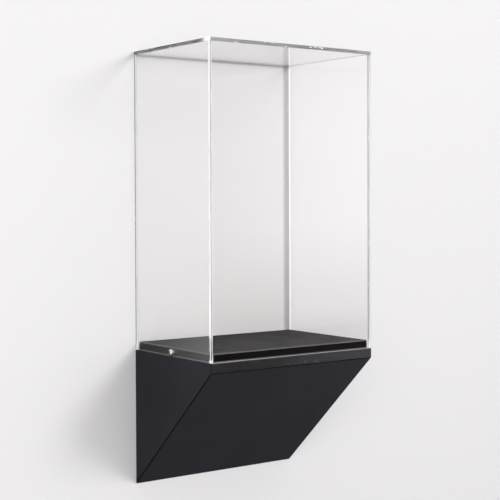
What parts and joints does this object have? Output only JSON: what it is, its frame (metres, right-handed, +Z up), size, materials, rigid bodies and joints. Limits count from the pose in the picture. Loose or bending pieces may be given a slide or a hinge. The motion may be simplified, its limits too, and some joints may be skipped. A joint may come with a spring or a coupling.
{
  "type": "wall-mounted display column",
  "caption": "Black wedge console that hangs on a bevelled wall cleat, with a raised plinth under a clear lift-off hood held by a lock screw in each side.",
  "frame": {"origin": "centre of the wall cleat's rear face, which lies flat on the wall", "axes": "+X to the right as seen from the room, +Y into the wall, +Z up"},
  "size_m": [0.368, 0.25, 0.8],
  "materials": {
    "clear_acrylic": "clear acrylic sheet with polished edges",
    "black_lacquer": "fibreboard in a fine-grained satin black lacquer",
    "plywood": "sanded birch plywood, unfinished",
    "beech": "planed beech, unfinished",
    "zinc_steel": "bright zinc-plated steel",
    "polished_steel": "polished stainless steel",
    "insert_brass": "turned brass"
  },
  "bodies": {
    "wall_fixing": {"wall_cleat": "plywood"},
    "console": {"plinth_board": "black_lacquer", "deck_board": "black_lacquer", "left_side_board": "black_lacquer", "right_side_board": "black_lacquer", "front_fascia": "black_lacquer", "sloped_front_board": "black_lacquer", "back_board": "plywood", "left_batten": "beech", "right_batten": "beech", "console_cleat": "plywood", "left_threaded_insert": "insert_brass", "right_threaded_insert": "insert_brass", "cleat_screw_1": "zinc_steel", "cleat_screw_2": "zinc_steel", "cleat_screw_3": "zinc_steel", "cleat_screw_4": "zinc_steel", "plinth_screw_1": "zinc_steel", "plinth_screw_2": "zinc_steel", "plinth_screw_3": "zinc_steel", "plinth_screw_4": "zinc_steel", "back_screw_1": "zinc_steel", "back_screw_2": "zinc_steel", "back_screw_3": "zinc_steel", "back_screw_4": "zinc_steel", "deck_dowel_1": "beech", "deck_dowel_2": "beech", "deck_dowel_3": "beech", "deck_dowel_4": "beech", "deck_dowel_5": "beech", "deck_dowel_6": "beech"},
    "hood": {"hood_top_panel": "clear_acrylic", "hood_front_panel": "clear_acrylic", "hood_back_panel": "clear_acrylic", "hood_left_panel": "clear_acrylic", "hood_right_panel": "clear_acrylic"},
    "left_washer": {"left_lock_washer": "polished_steel"},
    "left_screw": {"left_lock_screw": "polished_steel"},
    "right_washer": {"right_lock_washer": "polished_steel"},
    "right_screw": {"right_lock_screw": "polished_steel"}
  },
  "joints": [
    {"name": "console_unhook", "type": "slide", "parent": "wall_fixing", "child": "console", "axis": [0, -0.7071, 0.7071], "range_m": [0, 0.06]},
    {"name": "hood_lift", "type": "slide", "parent": "console", "child": "hood", "axis": [0, 0, 1], "range_m": [0, 0.57]},
    {"name": "left_lock_back_out", "type": "slide", "parent": "console", "child": "left_washer", "axis": [-1, 0, 0], "range_m": [0, 0.004]},
    {"name": "left_lock_turn", "type": "hinge", "parent": "left_washer", "child": "left_screw", "pos_m": [-0.1814, -0.125, 0.11522], "axis": [-1, 0, 0], "range_deg": [0, 1800]},
    {"name": "right_lock_back_out", "type": "slide", "parent": "console", "child": "right_washer", "axis": [1, 0, 0], "range_m": [0, 0.004]},
    {"name": "right_lock_turn", "type": "hinge", "parent": "right_washer", "child": "right_screw", "pos_m": [0.1814, -0.125, 0.11522], "axis": [1, 0, 0], "range_deg": [0, 1800]}
  ],
  "couplings": [
    {"joint": "left_lock_turn", "follows": "left_lock_back_out", "rad_per_m": 7854},
    {"joint": "right_lock_turn", "follows": "right_lock_back_out", "rad_per_m": 7854}
  ]
}
